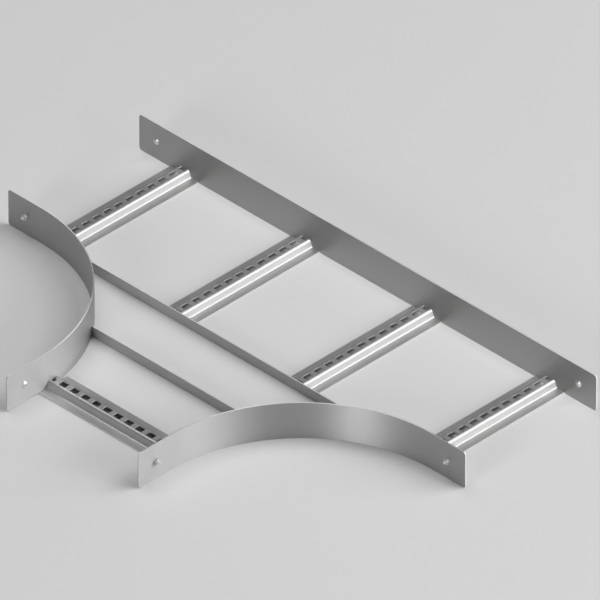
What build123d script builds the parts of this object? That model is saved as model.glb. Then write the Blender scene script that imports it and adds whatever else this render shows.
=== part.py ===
"""Equal tee for a slotted rung cable tray, 300 mm wide and 70 mm high.

The run lies along X and the branch leaves it towards -Y. A plain straight side
rail closes the back of the run, and two curved side rails turn from the run
into the branch. Slotted hat section rungs carry the cables, and two flat bars
on edge tie the curved rails together across the mouth of the branch.

The origin is on the floor, at the middle of the tee's length and depth.
All sizes are in millimetres.
"""
from build123d import *
import os

# Tray
tray_width = 300.0
rail_height = 70.0
rail_thickness = 2.0
bend_radius = 300.0
end_straight = 75.0
rail_corner_radius = 6.0

# Coupling holes, one near each end of each rail
coupling_hole = 7.0
coupling_inset = 40.0

# Hat section rungs
rung_height = 15.0
rung_sheet = 2.0
rung_crown_width = 22.0
rung_foot_width = 32.0
rung_overall_width = 65.0
rung_bend_radius = 3.0
rung_inset = 105.0
run_rung_count = 4

# Slots in the rung crowns
slot_length = 16.0
slot_width = 13.0
slot_corner_radius = 2.0
slot_pitch = 25.0

# Flat bars on edge across the mouth of the branch
bar_height = 20.0
bar_thickness = 2.0
bar_spacing = 127.0
bar_tip_thickness = 0.5

# Overall sizes and the planes that the pieces share
run_length = tray_width + 2 * (bend_radius + end_straight)
overall_depth = rail_thickness + tray_width + bend_radius + end_straight
run_end_x = run_length / 2
branch_end_y = -overall_depth / 2
back_wall_y = overall_depth / 2 - rail_thickness
mouth_y = back_wall_y - tray_width
branch_wall_x = tray_width / 2
bend_centre_x = branch_wall_x + bend_radius
bend_centre_y = mouth_y - bend_radius
mid_height = rail_height / 2


def coupling_drill(x, y, along):
    """Drill for one coupling hole at mid height, through the rail at x, y."""
    axis = Plane(origin=(x, y, mid_height), z_dir=along)
    return extrude(axis * Circle(coupling_hole / 2), 2 * rail_thickness, both=True)


def round_corners(rail, end_face, along):
    """Round the two corners of a rail at one of its ends."""
    corners = end_face.edges().filter_by(along)
    return fillet(corners, rail_corner_radius)


def straight_side_rail():
    """Flat rail along the back of the run."""
    blank = Pos(0, overall_depth / 2, 0) * Box(
        run_length, rail_thickness, rail_height, align=(Align.CENTER, Align.MAX, Align.MIN)
    )
    rail = round_corners(blank, blank.faces().sort_by(Axis.X)[0], Axis.Y)
    rail = round_corners(rail, rail.faces().sort_by(Axis.X)[-1], Axis.Y)
    for side in (-1, 1):
        rail -= coupling_drill(side * (run_end_x - coupling_inset), back_wall_y, (0, 1, 0))
    return rail


def curved_side_rail():
    """Flat rail bent from the right-hand side of the run into the branch."""
    half = rail_thickness / 2
    bend = bend_radius - half
    run_straight = Line((run_end_x, mouth_y - half), (bend_centre_x, mouth_y - half))
    corner = CenterArc((bend_centre_x, bend_centre_y), bend, 90, 90)
    branch_straight = Line(
        (branch_wall_x + half, bend_centre_y), (branch_wall_x + half, branch_end_y)
    )
    plan = trace([run_straight, corner, branch_straight], line_width=rail_thickness)
    blank = extrude(plan, rail_height)
    rail = round_corners(blank, blank.faces().sort_by(Axis.X)[-1], Axis.Y)
    rail = round_corners(rail, rail.faces().sort_by(Axis.Y)[0], Axis.X)
    rail -= coupling_drill(run_end_x - coupling_inset, mouth_y, (0, 1, 0))
    rail -= coupling_drill(branch_wall_x, branch_end_y + coupling_inset, (1, 0, 0))
    return rail


def rung():
    """Slotted hat section rung along Y, standing on its flanges, centred on X and Y."""
    half = rung_sheet / 2
    top = rung_height - half
    foot = rung_foot_width / 2 - half
    crown = rung_crown_width / 2 - half
    edge = rung_overall_width / 2
    section = FilletPolyline(
        (-edge, half), (-foot, half), (-crown, top), (crown, top), (foot, half), (edge, half),
        radius=rung_bend_radius + half,
    )
    hat = extrude(Plane.XZ * trace(section, line_width=rung_sheet), tray_width / 2, both=True)
    slots = int(tray_width // slot_pitch) + 1
    outline = RectangleRounded(slot_width, slot_length, slot_corner_radius)
    slot = Pos(0, 0, rung_height) * extrude(outline, 2 * rung_sheet, both=True)
    return hat - [place * slot for place in GridLocations(0, slot_pitch, 1, slots)]


def mouth_bar(back_y):
    """Flat bar on edge along X, with its ends cut to the curved rails."""
    stock = Pos(0, back_y, 0) * Box(
        2 * bend_centre_x, bar_thickness, bar_height, align=(Align.CENTER, Align.MAX, Align.MIN)
    )
    tip_reach = bend_radius**2 - (back_y - bar_tip_thickness - bend_centre_y) ** 2
    tip_x = bend_centre_x - tip_reach**0.5
    stock &= Box(2 * tip_x, 2 * overall_depth, 2 * bar_height)
    for side in (-1, 1):
        stock -= Pos(side * bend_centre_x, bend_centre_y, 0) * Cylinder(
            bend_radius, bar_height, align=(Align.CENTER, Align.CENTER, Align.MIN)
        )
    return stock


def main():
    os.makedirs("parts", exist_ok=True)

    right_rail = curved_side_rail()
    parts = {
        "straight_side_rail": straight_side_rail(),
        "right_curved_side_rail": right_rail,
        "left_curved_side_rail": mirror(right_rail, about=Plane.YZ),
        "mouth_bar": mouth_bar(mouth_y),
        "throat_bar": mouth_bar(mouth_y - bar_spacing),
    }

    run_rung_pitch = (run_length - 2 * rung_inset) / (run_rung_count - 1)
    run_rung_y = (back_wall_y + mouth_y) / 2
    for index in range(run_rung_count):
        x = -run_end_x + rung_inset + index * run_rung_pitch
        parts[f"run_rung_{index + 1}"] = Pos(x, run_rung_y, 0) * rung()
    parts["branch_rung"] = Pos(0, branch_end_y + rung_inset, 0) * Rot(0, 0, 90) * rung()

    for name, solid in parts.items():
        export_step(solid, f"parts/{name}.step")


main()
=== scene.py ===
"""Finish, coupling bolts and studio stage for the cable tray tee.

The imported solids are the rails, rungs and bars. This file gives them their satin steel,
adds the six coupling bolts with their nuts, and sets up a plain studio.
"""
import math

import bpy
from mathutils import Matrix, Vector


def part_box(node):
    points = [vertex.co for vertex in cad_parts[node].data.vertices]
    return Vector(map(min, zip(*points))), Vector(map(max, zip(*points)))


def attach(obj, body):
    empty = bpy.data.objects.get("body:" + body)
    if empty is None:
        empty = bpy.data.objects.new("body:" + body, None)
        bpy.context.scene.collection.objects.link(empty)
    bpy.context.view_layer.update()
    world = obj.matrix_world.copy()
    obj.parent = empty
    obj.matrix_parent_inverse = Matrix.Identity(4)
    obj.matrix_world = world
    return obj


bl_info = {
    "name": "Cable Tray Tee",
    "version": (1, 0, 0),
    "blender": (4, 5, 0),
    "location": "3D View > Sidebar > Cable Tray",
    "description": "Satin steel, coupling bolts and a studio stage for a cable tray tee",
    "category": "Object",
}

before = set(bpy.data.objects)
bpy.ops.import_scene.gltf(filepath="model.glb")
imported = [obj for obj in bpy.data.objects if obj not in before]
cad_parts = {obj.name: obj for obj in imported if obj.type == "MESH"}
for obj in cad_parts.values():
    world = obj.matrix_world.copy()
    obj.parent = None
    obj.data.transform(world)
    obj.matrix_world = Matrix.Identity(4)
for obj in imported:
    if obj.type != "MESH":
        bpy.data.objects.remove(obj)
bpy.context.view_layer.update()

MM = 0.001
BODY = "root"

RAILS = ("straight_side_rail", "left_curved_side_rail", "right_curved_side_rail")
BARS = ("mouth_bar", "throat_bar")
RUN_RUNGS = ("run_rung_1", "run_rung_2", "run_rung_3", "run_rung_4")
BRANCH_RUNGS = ("branch_rung",)

STRAIGHT_LOW, STRAIGHT_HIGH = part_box("straight_side_rail")
LEFT_LOW, LEFT_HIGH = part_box("left_curved_side_rail")
RAIL_SHEET = STRAIGHT_HIGH.y - STRAIGHT_LOW.y

# Facets of round pieces, and the size under which vertices are welded after a boolean
ROUND_SEGMENTS = 48
ROD_SEGMENTS = 24
HEAD_RINGS = 7
SMOOTH_ANGLE = math.radians(28)
SLIVER = 0.002 * MM

# Mushroom head: shares of its height, radius and diameter, the taper of its cross recess,
# and the limit that picks the faces at the bottom of the recess
RIM_HEIGHT = 0.12
RIM_FOOT = 0.97
RIM_CHAMFER = 0.4
RECESS_MIDDLE = 0.86
RECESS_DEPTH = 0.9
RECESS_LENGTH = 0.56
RECESS_WIDTH = 0.12
RECESS_TAPER = 0.45
FACING_DOWN = -0.5

# Thread in pitches: its depth and its profile as steps out and up, how far the rod reaches
# into the head and past its tip, and the chamfer of the tip. OFF_ROWS keeps both cuts off
# the rows of vertices.
THREAD_DEPTH = 0.61
THREAD_PROFILE = ((0, 1 / 8), (1, 5 / 16), (0, 1 / 4), (-1, 5 / 16))
THREAD_BITE = 0.3
OFF_ROWS = 0.017
RUN_OUT = 2
SPARE_TURNS = 4
ROW_WELD = 0.01
TIP_INSET = 0.15
TIP_EDGE = 0.05
TIP_CHAMFER = 1.9
CUT_TOLERANCE = 1e-7

# Nut: its flat face as a share of its width, how far the chamfering cones reach as a share
# of its corner radius, and its bore
NUT_FACE = 0.475
NUT_REACH = 1.1
NUT_CHAMFER = math.radians(30)
BORE_PLAY = 0.05 * MM
BORE_CHAMFER = 0.5 * MM
OVERSHOOT = 1 * MM

# Streaks per metre along and across the brushing, their bump, and the turn of the highlights
GRAIN_ALONG = 4
GRAIN_ACROSS = 1400
GRAIN_RELIEF = 0.4
ZINC_GRAIN = 300
ZINC_RELIEF = 0.05
RELIEF_HEIGHT = 0.05 * MM
QUARTER_TURN = 0.25

# Noise as scale, detail and roughness, the share of the clouds, and what both change
STREAK_NOISE = (1.0, 4.0, 0.65)
CLOUD_NOISE = (14.0, 3.0, 0.5)
CLOUD_SHARE = 0.4
NOISE_ENDS = (0.3, 0.7)
TINT_SPREAD = 0.14
ROUGHNESS_SPREAD = 0.05

# Sheared edges, which carry a painted highlight: how far they reach from a rail's end, and the limits of a
# face's direction
END_REACH = 6.1 * MM
UPWARD = 0.7
ACROSS = 0.3
UPRIGHT = 0.25

# Inputs A and B and the output of a Mix node
MIX_SOCKETS = {"FLOAT": (2, 3, 0), "RGBA": (6, 7, 2)}

# Floor and camera
FLOOR_WIDTH = 120.0
FLOOR_DROP = 0.2 * MM
FLOOR_ROUGHNESS = 0.9
FLOOR_SHINE = 0.1
CLIP_START = 1.0
CLIP_END = 100.0

# Each lamp's name, bearing and height in degrees, size in metres and power in watts
LAMP_DISTANCE = 10.0
LAMPS = (
    ("overhead_softbox", 180, 72, (5.7, 5.7), 380),
    ("key_softbox", 20, 20, (2.6, 2.6), 270),
    ("back_softbox", 45, 55, (5.7, 5.7), 390),
    ("side_softbox", -80, 20, (2.6, 2.6), 270),
    ("right_softbox", 0, 20, (2.6, 2.6), 165),
    ("back_fill", 60, 38, (3.4, 3.4), 120),
    ("low_key_strip", 60, 4, (2.1, 1.15), 60),
    ("corner_softbox", 45, 20, (2.6, 2.6), 165),
    ("side_strip", -70, 4, (2.1, 1.15), 98),
)

# Bearings from which lamps shine past the straight rail, so that the rungs are lit up to it
PAST_RAIL = range(1, 90)


class SteelSettings(bpy.types.PropertyGroup):
    """Finish of the rails, rungs and bars."""

    colour: bpy.props.FloatVectorProperty(
        name="Steel colour",
        description="Base colour of the satin steel",
        default=(0.497, 0.497, 0.495),
        subtype="COLOR",
        min=0.0,
        max=1.0,
    )
    roughness: bpy.props.FloatProperty(
        name="Roughness",
        description="Mean roughness of the satin steel",
        default=0.50,
        min=0.05,
        max=1.0,
        subtype="FACTOR",
    )
    # Lighter colour of the sheared edges: partly their bare steel, partly a painted highlight that stands
    # in for the light lines along them
    bare_edge_and_highlight_colour: bpy.props.FloatVectorProperty(
        name="Cut edge colour",
        description="Base colour of the bright sheared edges",
        default=(0.70, 0.70, 0.69),
        subtype="COLOR",
        min=0.0,
        max=1.0,
    )
    edge_shine: bpy.props.FloatProperty(
        name="Cut edge shine",
        description="How metallic the sheared edges look, with their fine matt fracture",
        default=0.70,
        min=0.0,
        max=1.0,
        subtype="FACTOR",
    )
    edge_roughness: bpy.props.FloatProperty(
        name="Cut edge roughness",
        description="Roughness of the sheared edges",
        default=0.65,
        min=0.05,
        max=1.0,
        subtype="FACTOR",
    )
    rung_roughness: bpy.props.FloatProperty(
        name="Rung roughness",
        description="Mean roughness of the roll-formed rungs",
        default=0.49,
        min=0.05,
        max=1.0,
        subtype="FACTOR",
    )
    brushing: bpy.props.FloatProperty(
        name="Brushing",
        description="How far the brushing of the rails and bars stretches their highlights",
        default=0.80,
        min=0.0,
        max=1.0,
        subtype="FACTOR",
    )


class BoltSettings(bpy.types.PropertyGroup):
    """Sizes of the mushroom head coupling bolts and their nuts."""

    inset: bpy.props.FloatProperty(
        name="Inset", description="From the end of a rail to the bolt", default=40 * MM, unit="LENGTH"
    )
    head_diameter: bpy.props.FloatProperty(
        name="Head diameter", description="Across the mushroom head", default=12.5 * MM, unit="LENGTH"
    )
    head_height: bpy.props.FloatProperty(
        name="Head height", description="Height of the mushroom head", default=3.6 * MM, unit="LENGTH"
    )
    thread_diameter: bpy.props.FloatProperty(
        name="Thread diameter", description="Across the crests of the thread", default=6 * MM, unit="LENGTH"
    )
    thread_pitch: bpy.props.FloatProperty(
        name="Thread pitch", description="From one crest to the next", default=1 * MM, unit="LENGTH"
    )
    bolt_length: bpy.props.FloatProperty(
        name="Bolt length", description="From under the head to the tip", default=11 * MM, unit="LENGTH"
    )
    nut_width: bpy.props.FloatProperty(
        name="Nut width", description="Across the flats of the nut", default=10 * MM, unit="LENGTH"
    )
    nut_height: bpy.props.FloatProperty(
        name="Nut height", description="Thickness of the nut", default=5 * MM, unit="LENGTH"
    )
    colour: bpy.props.FloatVectorProperty(
        name="Zinc colour",
        description="Base colour of the plated bolts and nuts",
        default=(0.74, 0.74, 0.745),
        subtype="COLOR",
        min=0.0,
        max=1.0,
    )
    roughness: bpy.props.FloatProperty(
        name="Zinc roughness",
        description="Mean roughness of the plating",
        default=0.44,
        min=0.05,
        max=1.0,
        subtype="FACTOR",
    )


class StageSettings(bpy.types.PropertyGroup):
    """Floor, lamps and camera."""

    floor_colour: bpy.props.FloatVectorProperty(
        name="Floor colour",
        description="Colour of the plain floor",
        default=(0.60, 0.60, 0.60),
        subtype="COLOR",
        min=0.0,
        max=1.0,
    )
    sky_colour: bpy.props.FloatVectorProperty(
        name="Room colour",
        description="Colour of the soft light from the room",
        default=(0.04, 0.04, 0.04),
        subtype="COLOR",
        min=0.0,
        max=1.0,
    )
    azimuth: bpy.props.FloatProperty(
        name="Azimuth",
        description="Direction of the camera round the tee",
        default=math.radians(44.887),
        subtype="ANGLE",
    )
    elevation: bpy.props.FloatProperty(
        name="Elevation",
        description="Height of the camera above the horizon",
        default=math.radians(35.349),
        subtype="ANGLE",
    )
    distance: bpy.props.FloatProperty(
        name="Distance", description="From the camera to the tee", default=45.642, unit="LENGTH"
    )
    lens: bpy.props.FloatProperty(
        name="Lens", description="Focal length in millimetres, long for an even scale", default=1680.0
    )
    target: bpy.props.FloatVectorProperty(
        name="Target",
        description="Point on the floor at the centre of the picture",
        default=(-0.0354, 0.2190, 0.0),
        subtype="TRANSLATION",
        unit="LENGTH",
    )


def deselect_all():
    """Leaves nothing selected."""
    bpy.ops.object.select_all(action="DESELECT")


def pick(piece):
    """Makes one piece the only selected and the active one."""
    deselect_all()
    piece.select_set(True)
    bpy.context.view_layer.objects.active = piece


def settle():
    """Applies the place, turn and size of the selected piece."""
    bpy.ops.object.transform_apply(location=True, rotation=True, scale=True)


def opaque(colour, share=1.0):
    """A share of a colour, with full opacity."""
    return [part * share for part in colour] + [1.0]


def add_node(tree, kind, place, **values):
    """Adds a shader node at a place and sets its properties."""
    node = tree.nodes.new(kind)
    node.location = place
    for name, value in values.items():
        setattr(node, name, value)
    return node


def feed(tree, socket, value):
    """Links another socket to an input, or writes a plain value there."""
    if isinstance(value, bpy.types.NodeSocket):
        tree.links.new(value, socket)
    else:
        socket.default_value = value


def calculate(tree, operation, place, first, second=None):
    """Adds a Math node, its inputs given as sockets or numbers, and returns its result."""
    node = add_node(tree, "ShaderNodeMath", place, operation=operation)
    feed(tree, node.inputs[0], first)
    if second is not None:
        feed(tree, node.inputs[1], second)
    return node.outputs[0]


def blend(tree, kind, place, share, first, second):
    """Adds a Mix node for FLOAT or RGBA and returns its result."""
    node = add_node(tree, "ShaderNodeMix", place, data_type=kind)
    input_a, input_b, result = MIX_SOCKETS[kind]
    for index, value in ((0, share), (input_a, first), (input_b, second)):
        feed(tree, node.inputs[index], value)
    return node.outputs[result]


def remap(tree, place, value, ends, results):
    """Adds a Map Range node from one pair of numbers to another and returns its result."""
    node = add_node(tree, "ShaderNodeMapRange", place)
    for name, limit in zip(("From Min", "From Max", "To Min", "To Max"), ends + results):
        node.inputs[name].default_value = limit
    tree.links.new(value, node.inputs["Value"])
    return node.outputs["Result"]


def add_noise(tree, place, vector, noise):
    """Adds a Noise node from its scale, detail and roughness and returns its result."""
    node = add_node(tree, "ShaderNodeTexNoise", place)
    for name, value in zip(("Scale", "Detail", "Roughness"), noise):
        node.inputs[name].default_value = value
    tree.links.new(vector, node.inputs["Vector"])
    return node.outputs["Fac"]


def metal_material(name, colour, roughness, streaks, bump):
    """Satin metal with fine streaks along one direction and a soft cloudiness.

    The streaks are the scale of the streak pattern along X, Y and Z, per metre.
    """
    material = bpy.data.materials.new(name)
    material.use_nodes = True
    tree = material.node_tree
    shader = tree.nodes["Principled BSDF"]
    shader.inputs["Metallic"].default_value = 1.0
    place = add_node(tree, "ShaderNodeTexCoord", (-1300, 0))

    stretch = add_node(tree, "ShaderNodeMapping", (-1100, 150))
    stretch.inputs["Scale"].default_value = streaks
    tree.links.new(place.outputs["Object"], stretch.inputs["Vector"])
    streak = add_noise(tree, (-900, 150), stretch.outputs["Vector"], STREAK_NOISE)
    cloud = add_noise(tree, (-900, -150), place.outputs["Object"], CLOUD_NOISE)
    tone = blend(tree, "FLOAT", (-650, 0), CLOUD_SHARE, streak, cloud)

    dark, light = opaque(colour, 1 - TINT_SPREAD), opaque(colour, 1 + TINT_SPREAD)
    tree.links.new(blend(tree, "RGBA", (-350, 200), tone, dark, light), shader.inputs["Base Color"])

    gloss = (roughness - ROUGHNESS_SPREAD, roughness + ROUGHNESS_SPREAD)
    tree.links.new(remap(tree, (-350, -50), tone, NOISE_ENDS, gloss), shader.inputs["Roughness"])

    relief = add_node(tree, "ShaderNodeBump", (-350, -350))
    relief.inputs["Strength"].default_value = bump
    relief.inputs["Distance"].default_value = RELIEF_HEIGHT
    tree.links.new(streak, relief.inputs["Height"])
    tree.links.new(relief.outputs["Normal"], shader.inputs["Normal"])
    return material


def parts_of(tree, vector, height):
    """X, Y and Z of a vector socket."""
    split = add_node(tree, "ShaderNodeSeparateXYZ", (-1900, height))
    tree.links.new(vector, split.inputs[0])
    return split.outputs


def strip_edge_highlight_mask(tree):
    """Mask of the sheared edges of the strips on edge: top, bottom and the six rail ends, which get a
    painted highlight.
    """
    place = add_node(tree, "ShaderNodeTexCoord", (-2100, -900))
    facing = [
        calculate(tree, "ABSOLUTE", (-1700, -900 - 150 * index), part)
        for index, part in enumerate(parts_of(tree, place.outputs["Normal"], -900))
    ]
    x, y, _ = parts_of(tree, place.outputs["Object"], -1500)
    mask = calculate(tree, "GREATER_THAN", (-1500, -1200), facing[2], UPWARD)
    along_run = calculate(tree, "ABSOLUTE", (-1700, -1500), x)
    run_ends = calculate(tree, "GREATER_THAN", (-1500, -1500), along_run, STRAIGHT_HIGH.x - END_REACH)
    branch_ends = calculate(tree, "LESS_THAN", (-1500, -1800), y, LEFT_LOW.y + END_REACH)
    for ends, sheet in ((run_ends, facing[1]), (branch_ends, facing[0])):
        cut = calculate(tree, "LESS_THAN", (-1300, -1600), sheet, ACROSS)
        both = calculate(tree, "MULTIPLY", (-1100, -1500), ends, cut)
        mask = calculate(tree, "MAXIMUM", (-900, -1400), mask, both)
    return mask


def rung_edge_highlight_mask(tree):
    """Mask of the sheared edges of the rungs: the flange edges and the walls of the slots, which get a
    painted highlight.
    """
    place = add_node(tree, "ShaderNodeTexCoord", (-2100, -900))
    upward = parts_of(tree, place.outputs["Normal"], -900)[2]
    facing_up = calculate(tree, "ABSOLUTE", (-1700, -900), upward)
    return calculate(tree, "LESS_THAN", (-1500, -900), facing_up, UPRIGHT)


def paint_edge_highlights(material, mask, steel):
    """Gives the sheared edges a lighter colour, partly their bare steel and partly a painted highlight,
    with their own roughness and shine.
    """
    tree = material.node_tree
    shader = tree.nodes["Principled BSDF"]
    edges = mask(tree)
    shine = remap(tree, (-150, 600), edges, (0.0, 1.0), (1.0, steel.edge_shine))
    tree.links.new(shine, shader.inputs["Metallic"])
    for name, kind, value in (
        ("Base Color", "RGBA", opaque(steel.bare_edge_and_highlight_colour)),
        ("Roughness", "FLOAT", steel.edge_roughness),
    ):
        socket = shader.inputs[name]
        mixed = blend(tree, kind, (-150, 300), edges, socket.links[0].from_socket, value)
        tree.links.new(mixed, socket)


def brush_round_z(material, strength):
    """Stretches the highlights of upright faces up and down, as horizontal brushing does."""
    tree = material.node_tree
    shader = tree.nodes["Principled BSDF"]
    grain = add_node(tree, "ShaderNodeTangent", (-350, -600), direction_type="RADIAL", axis="Z")
    tree.links.new(grain.outputs["Tangent"], shader.inputs["Tangent"])
    shader.inputs["Anisotropic"].default_value = strength
    shader.inputs["Anisotropic Rotation"].default_value = QUARTER_TURN


def dress(piece, material):
    """Gives a piece one material in every slot."""
    if not piece.material_slots:
        piece.data.materials.append(material)
    for slot in piece.material_slots:
        slot.material = material


class TRAY_OT_finish_steel(bpy.types.Operator):
    """Give the rails, rungs and bars their satin steel"""

    bl_idname = "tray.finish_steel"
    bl_label = "Finish the steel"

    def execute(self, context):
        steel = context.scene.tray_steel
        finishes = []
        # Each finish gets a painted highlight on its sheared edges, over their bare steel
        for name, roughness, streaks, mask in (
            ("strip", steel.roughness, (GRAIN_ALONG, GRAIN_ALONG, GRAIN_ACROSS), strip_edge_highlight_mask),
            ("run_rung", steel.rung_roughness, (GRAIN_ACROSS, GRAIN_ALONG, GRAIN_ACROSS), rung_edge_highlight_mask),
            ("branch_rung", steel.rung_roughness, (GRAIN_ALONG, GRAIN_ACROSS, GRAIN_ACROSS), rung_edge_highlight_mask),
        ):
            material = metal_material("satin_steel_" + name, steel.colour, roughness, streaks, GRAIN_RELIEF)
            paint_edge_highlights(material, mask, steel)
            finishes.append(material)
        strip, run, branch = finishes
        brush_round_z(strip, steel.brushing)
        for names, material in ((RAILS + BARS, strip), (RUN_RUNGS, run), (BRANCH_RUNGS, branch)):
            for name in names:
                dress(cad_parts[name], material)
        return {"FINISHED"}


def edit_all(piece, part):
    """Opens a piece in edit mode with all of it selected, as VERT or FACE."""
    pick(piece)
    bpy.ops.object.mode_set(mode="EDIT")
    bpy.ops.mesh.select_mode(type=part)
    bpy.ops.mesh.select_all(action="SELECT")


def close_edit():
    """Turns all faces outwards and leaves edit mode."""
    bpy.ops.mesh.select_all(action="SELECT")
    bpy.ops.mesh.normals_make_consistent(inside=False)
    bpy.ops.object.mode_set(mode="OBJECT")


def turned_solid(name, rings, vertices):
    """Round solid on the Z axis, raised ring by ring from pairs of radius and height."""
    deselect_all()
    first_radius, height = rings[0]
    bpy.ops.mesh.primitive_circle_add(
        vertices=vertices, radius=first_radius, fill_type="NGON", location=(0, 0, height)
    )
    solid = bpy.context.object
    solid.name = name
    settle()
    edit_all(solid, "FACE")
    last_radius = first_radius
    for radius, top in rings[1:]:
        bpy.ops.mesh.extrude_region_move(TRANSFORM_OT_translate={"value": (0, 0, top - height)})
        grow = radius / last_radius
        bpy.ops.transform.resize(value=(grow, grow, 1))
        last_radius, height = radius, top
    close_edit()
    return solid


def combine(piece, tool, operation):
    """Applies a boolean of a tool to a piece, removes the tool and welds the slivers."""
    cut = piece.modifiers.new("cut", "BOOLEAN")
    cut.operation = operation
    cut.solver = "EXACT"
    cut.object = tool
    pick(piece)
    bpy.ops.object.modifier_apply(modifier=cut.name)
    bpy.data.objects.remove(tool)
    edit_all(piece, "VERT")
    bpy.ops.mesh.remove_doubles(threshold=SLIVER)
    close_edit()


def mushroom_head(bolts):
    """Domed head standing on the XY plane, with a cross recess."""
    rim_radius = bolts.head_diameter / 2
    rim_height = RIM_HEIGHT * bolts.head_height
    dome = bolts.head_height - rim_height
    sphere = (rim_radius**2 + dome**2) / (2 * dome)
    foot = (rim_radius * RIM_FOOT, 0.0)
    rings = [foot, (rim_radius, rim_height * RIM_CHAMFER), (rim_radius, rim_height)]
    for step in range(1, HEAD_RINGS):
        radius = rim_radius * (1 - step / HEAD_RINGS)
        rings.append((radius, rim_height + math.sqrt(sphere**2 - radius**2) - sphere + dome))
    head = turned_solid("mushroom_head", rings, ROUND_SEGMENTS)
    for turn in (0, math.pi / 2):
        deselect_all()
        bpy.ops.mesh.primitive_cube_add(size=1, location=(0, 0, RECESS_MIDDLE * bolts.head_height))
        recess = bpy.context.object
        recess.scale = (
            RECESS_LENGTH * bolts.head_diameter,
            RECESS_WIDTH * bolts.head_diameter,
            RECESS_DEPTH * bolts.head_height,
        )
        recess.rotation_euler = (0, 0, turn)
        settle()
        for face in recess.data.polygons:
            face.select = face.normal.z < FACING_DOWN
        bpy.ops.object.mode_set(mode="EDIT")
        bpy.ops.mesh.select_mode(type="FACE")
        bpy.ops.transform.resize(value=(RECESS_TAPER, RECESS_TAPER, 1))
        close_edit()
        combine(head, recess, "DIFFERENCE")
    return head


def threaded_rod(bolts):
    """Rod with a true helical thread, from inside the head down to its chamfered tip."""
    crest = bolts.thread_diameter / 2
    pitch = bolts.thread_pitch
    root = crest - THREAD_DEPTH * pitch
    bite = (THREAD_BITE + OFF_ROWS) * pitch
    tip = -bolts.bolt_length
    deselect_all()
    bpy.ops.mesh.primitive_plane_add(size=pitch, location=(0, 0, 0))
    rod = bpy.context.object
    edit_all(rod, "VERT")
    bpy.ops.mesh.merge(type="CENTER")
    bpy.ops.transform.translate(value=(root, 0, tip - RUN_OUT * pitch))
    for out, up in THREAD_PROFILE:
        step = (out * (crest - root), 0, up * pitch)
        bpy.ops.mesh.extrude_vertices_move(TRANSFORM_OT_translate={"value": step})
    bpy.ops.object.mode_set(mode="OBJECT")
    helix = rod.modifiers.new("helix", "SCREW")
    helix.screw_offset = pitch
    helix.iterations = math.ceil((bolts.bolt_length + bite) / pitch) + SPARE_TURNS
    helix.steps = ROD_SEGMENTS
    helix.render_steps = ROD_SEGMENTS
    bpy.ops.object.modifier_apply(modifier=helix.name)
    edit_all(rod, "VERT")
    bpy.ops.mesh.remove_doubles(threshold=ROW_WELD * pitch)
    for height, up in ((bite, 1), (tip - OFF_ROWS * pitch, -1)):
        bpy.ops.mesh.select_all(action="SELECT")
        bpy.ops.mesh.bisect(
            plane_co=(0, 0, height),
            plane_no=(0, 0, up),
            use_fill=True,
            clear_outer=True,
            threshold=CUT_TOLERANCE,
        )
    close_edit()
    narrow, wide = root - TIP_INSET * pitch, crest + pitch
    sleeve_rings = [
        (narrow, tip - RUN_OUT * pitch),
        (narrow, tip + TIP_EDGE * pitch),
        (wide, tip + TIP_CHAMFER * pitch),
        (wide, pitch),
    ]
    combine(rod, turned_solid("chamfer_sleeve", sleeve_rings, ROUND_SEGMENTS), "INTERSECT")
    return rod


def hexagon_nut(bolts):
    """Hexagon nut with chamfered corners, its upper face under the sheet."""
    corner = bolts.nut_width / math.sqrt(3)
    face = NUT_FACE * bolts.nut_width
    reach = NUT_REACH * corner
    slope = (reach - face) * math.tan(NUT_CHAMFER)
    top = -RAIL_SHEET
    foot = top - bolts.nut_height
    deselect_all()
    bpy.ops.mesh.primitive_cylinder_add(
        vertices=6, radius=corner, depth=bolts.nut_height, location=(0, 0, (top + foot) / 2)
    )
    nut = bpy.context.object
    settle()
    limit_rings = [(face, foot), (reach, foot + slope), (reach, top - slope), (face, top)]
    limit = turned_solid("nut_limit", limit_rings, ROUND_SEGMENTS)
    limit.rotation_euler = (0, 0, math.pi / ROUND_SEGMENTS)
    settle()
    combine(nut, limit, "INTERSECT")
    bore = bolts.thread_diameter / 2 + BORE_PLAY
    mouth = bore + BORE_CHAMFER + OVERSHOOT
    bore_rings = [
        (mouth, foot - OVERSHOOT),
        (bore, foot + BORE_CHAMFER),
        (bore, top - BORE_CHAMFER),
        (mouth, top + OVERSHOOT),
    ]
    combine(nut, turned_solid("nut_bore", bore_rings, ROUND_SEGMENTS), "DIFFERENCE")
    return nut


def copy_to(master, name, place, heading, material):
    """Copies a master piece on the Z axis to a place, its top turned from -Y by the heading."""
    pick(master)
    bpy.ops.object.duplicate(linked=False)
    piece = bpy.context.object
    piece.name = name
    piece.rotation_euler = (math.pi / 2, 0, heading)
    piece.location = place
    settle()
    bpy.ops.object.shade_smooth_by_angle(angle=SMOOTH_ANGLE)
    dress(piece, material)
    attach(piece, BODY)


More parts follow.
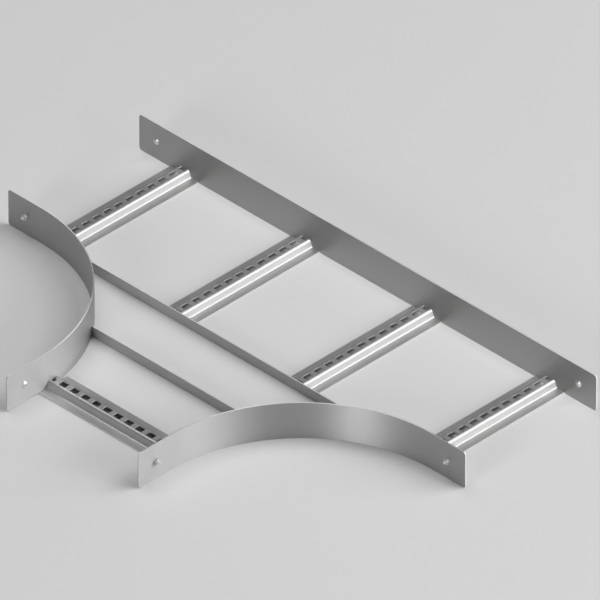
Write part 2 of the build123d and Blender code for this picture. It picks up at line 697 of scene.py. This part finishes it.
class TRAY_OT_add_coupling_bolts(bpy.types.Operator):
    """Add a mushroom head bolt and its nut at each end of each rail"""

    bl_idname = "tray.add_coupling_bolts"
    bl_label = "Add the coupling bolts"

    def execute(self, context):
        bolts = context.scene.tray_bolts
        grain = (ZINC_GRAIN, ZINC_GRAIN, ZINC_GRAIN)
        zinc = metal_material("bright_zinc", bolts.colour, bolts.roughness, grain, ZINC_RELIEF)
        bolt = mushroom_head(bolts)
        combine(bolt, threaded_rod(bolts), "UNION")
        nut = hexagon_nut(bolts)
        middle = STRAIGHT_HIGH.z / 2
        back, front = STRAIGHT_LOW.y, LEFT_HIGH.y
        run_x = STRAIGHT_HIGH.x - bolts.inset
        branch_y = LEFT_LOW.y + bolts.inset
        ends = {
            "back_left": ((-run_x, back, middle), 0),
            "back_right": ((run_x, back, middle), 0),
            "front_left": ((-run_x, front, middle), math.pi),
            "front_right": ((run_x, front, middle), math.pi),
            "branch_left": ((LEFT_HIGH.x, branch_y, middle), math.pi / 2),
            "branch_right": ((-LEFT_HIGH.x, branch_y, middle), -math.pi / 2),
        }
        for end, (place, heading) in ends.items():
            copy_to(bolt, "coupling_bolt_" + end, place, heading, zinc)
            copy_to(nut, "coupling_nut_" + end, place, heading, zinc)
        bpy.data.objects.remove(bolt)
        bpy.data.objects.remove(nut)
        return {"FINISHED"}


def direction(turn, rise):
    """Unit vector from the tee at a bearing from +X and a height."""
    return Vector((math.cos(turn) * math.cos(rise), math.sin(turn) * math.cos(rise), math.sin(rise)))


def soft_lamp(name, bearing, height, size, power):
    """Soft rectangular lamp that shines on the tee from a bearing and a height in degrees."""
    aim = direction(math.radians(bearing), math.radians(height))
    deselect_all()
    bpy.ops.object.light_add(type="AREA", location=aim * LAMP_DISTANCE)
    lamp = bpy.context.object
    lamp.name = name
    lamp.rotation_euler = (-aim).to_track_quat("-Z", "Y").to_euler()
    lamp.data.shape = "RECTANGLE"
    lamp.data.size, lamp.data.size_y = size
    lamp.data.energy = power
    lamp.visible_camera = False
    return lamp


def blockers_without(piece):
    """Light linking collection in which one piece throws no shadow."""
    blockers = bpy.data.collections.new("straight_rail")
    blockers.objects.link(piece)
    for member in blockers.collection_objects:
        member.light_linking.link_state = "EXCLUDE"
    return blockers


class TRAY_OT_set_stage(bpy.types.Operator):
    """Add the floor, the soft lamps and the camera"""

    bl_idname = "tray.set_stage"
    bl_label = "Set the stage"

    def execute(self, context):
        stage = context.scene.tray_stage
        deselect_all()
        bpy.ops.mesh.primitive_plane_add(size=FLOOR_WIDTH, location=(0, 0, -FLOOR_DROP))
        floor = context.object
        floor.name = "studio_floor"
        settle()
        paint = bpy.data.materials.new("pale_floor")
        paint.use_nodes = True
        shader = paint.node_tree.nodes["Principled BSDF"]
        shader.inputs["Base Color"].default_value = opaque(stage.floor_colour)
        shader.inputs["Roughness"].default_value = FLOOR_ROUGHNESS
        shader.inputs["Specular IOR Level"].default_value = FLOOR_SHINE
        dress(floor, paint)

        world = bpy.data.worlds.new("studio_room")
        context.scene.world = world
        world.use_nodes = True
        world.node_tree.nodes["Background"].inputs["Color"].default_value = opaque(stage.sky_colour)

        blockers = blockers_without(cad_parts["straight_side_rail"])
        for name, bearing, height, size, power in LAMPS:
            lamp = soft_lamp(name, bearing, height, size, power)
            if bearing in PAST_RAIL:
                lamp.light_linking.blocker_collection = blockers

        back = direction(stage.azimuth - math.pi / 2, stage.elevation)
        deselect_all()
        bpy.ops.object.camera_add(location=Vector(stage.target) + back * stage.distance)
        camera = context.object
        camera.name = "studio_camera"
        camera.rotation_euler = (-back).to_track_quat("-Z", "Y").to_euler()
        camera.data.lens = stage.lens
        camera.data.clip_start = CLIP_START
        camera.data.clip_end = CLIP_END
        context.scene.camera = camera
        context.scene.view_settings.view_transform = "Standard"
        return {"FINISHED"}


class TRAY_PT_panel(bpy.types.Panel):
    """Sizes and colours of the tee, with a button for each step"""

    bl_idname = "TRAY_PT_panel"
    bl_label = "Cable tray tee"
    bl_space_type = "VIEW_3D"
    bl_region_type = "UI"
    bl_category = "Cable Tray"

    def draw(self, context):
        scene = context.scene
        for settings, operator in (
            (scene.tray_steel, "tray.finish_steel"),
            (scene.tray_bolts, "tray.add_coupling_bolts"),
            (scene.tray_stage, "tray.set_stage"),
        ):
            box = self.layout.box()
            for name in settings.__annotations__:
                box.prop(settings, name)
            box.operator(operator)


CLASSES = (
    SteelSettings,
    BoltSettings,
    StageSettings,
    TRAY_OT_finish_steel,
    TRAY_OT_add_coupling_bolts,
    TRAY_OT_set_stage,
    TRAY_PT_panel,
)


def register():
    for cls in CLASSES:
        bpy.utils.register_class(cls)
    bpy.types.Scene.tray_steel = bpy.props.PointerProperty(type=SteelSettings)
    bpy.types.Scene.tray_bolts = bpy.props.PointerProperty(type=BoltSettings)
    bpy.types.Scene.tray_stage = bpy.props.PointerProperty(type=StageSettings)


def unregister():
    del bpy.types.Scene.tray_stage
    del bpy.types.Scene.tray_bolts
    del bpy.types.Scene.tray_steel
    for cls in reversed(CLASSES):
        bpy.utils.unregister_class(cls)


def main():
    register()
    bpy.ops.tray.finish_steel()
    bpy.ops.tray.add_coupling_bolts()
    bpy.ops.tray.set_stage()


if __name__ == "__main__":
    main()
